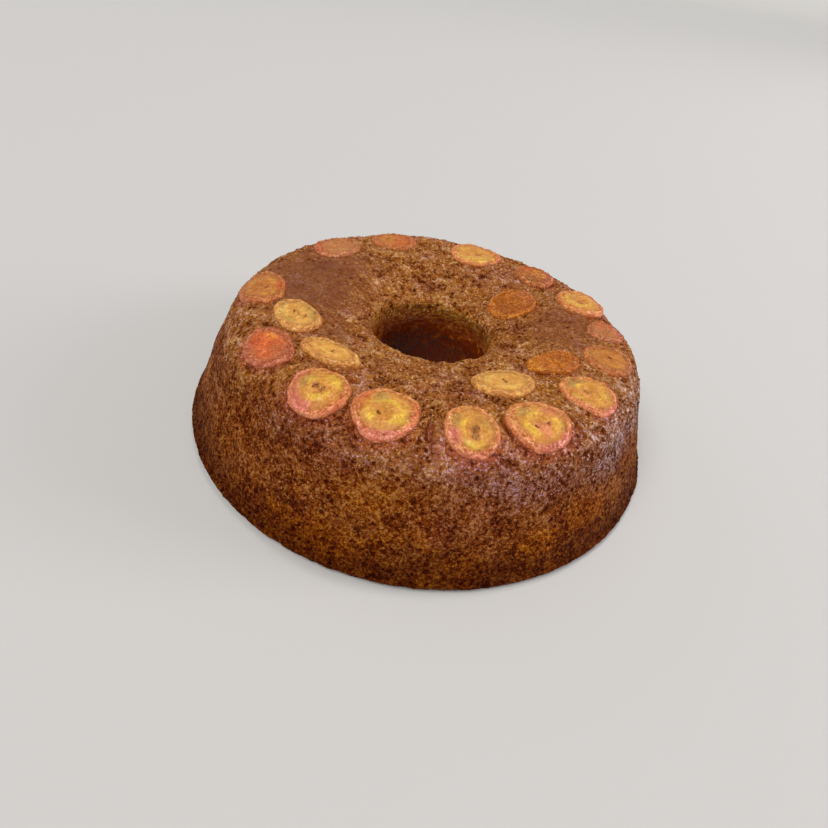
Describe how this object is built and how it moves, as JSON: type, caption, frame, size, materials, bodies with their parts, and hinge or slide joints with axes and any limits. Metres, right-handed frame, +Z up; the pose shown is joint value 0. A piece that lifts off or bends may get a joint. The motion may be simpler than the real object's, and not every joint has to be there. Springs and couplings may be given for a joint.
{
  "type": "banana ring cake",
  "caption": "Whole ring-shaped banana cake with a tapered wall, a round hole and banana slices baked into its crown.",
  "frame": {"origin": "centre of the footprint, on the surface the cake stands on", "axes": "+Z up, through the hole; -Y is the side the picture is taken from, +X is to its right"},
  "size_m": [0.2356, 0.2444, 0.0638],
  "materials": {
    "crumb": "moist open cake crumb, dull",
    "banana_golden": "baked banana flesh, golden with a pink rim, softly shiny",
    "banana_orange": "baked banana flesh, deep orange, softly shiny",
    "banana_red": "baked banana flesh stained red by the jam, softly shiny"
  },
  "bodies": {
    "root": {"cake_ring": "crumb", "banana_slice_01": "banana_orange", "banana_slice_02": "banana_golden", "banana_slice_03": "banana_red", "banana_slice_04": "banana_golden", "banana_slice_05": "banana_golden", "banana_slice_06": "banana_golden", "banana_slice_07": "banana_golden", "banana_slice_08": "banana_golden", "banana_slice_09": "banana_golden", "banana_slice_10": "banana_golden", "banana_slice_11": "banana_orange", "banana_slice_12": "banana_orange", "banana_slice_13": "banana_orange", "banana_slice_14": "banana_golden", "banana_slice_15": "banana_orange", "banana_slice_16": "banana_red", "banana_slice_17": "banana_golden", "banana_slice_18": "banana_orange", "banana_slice_19": "banana_orange"}
  },
  "joints": []
}
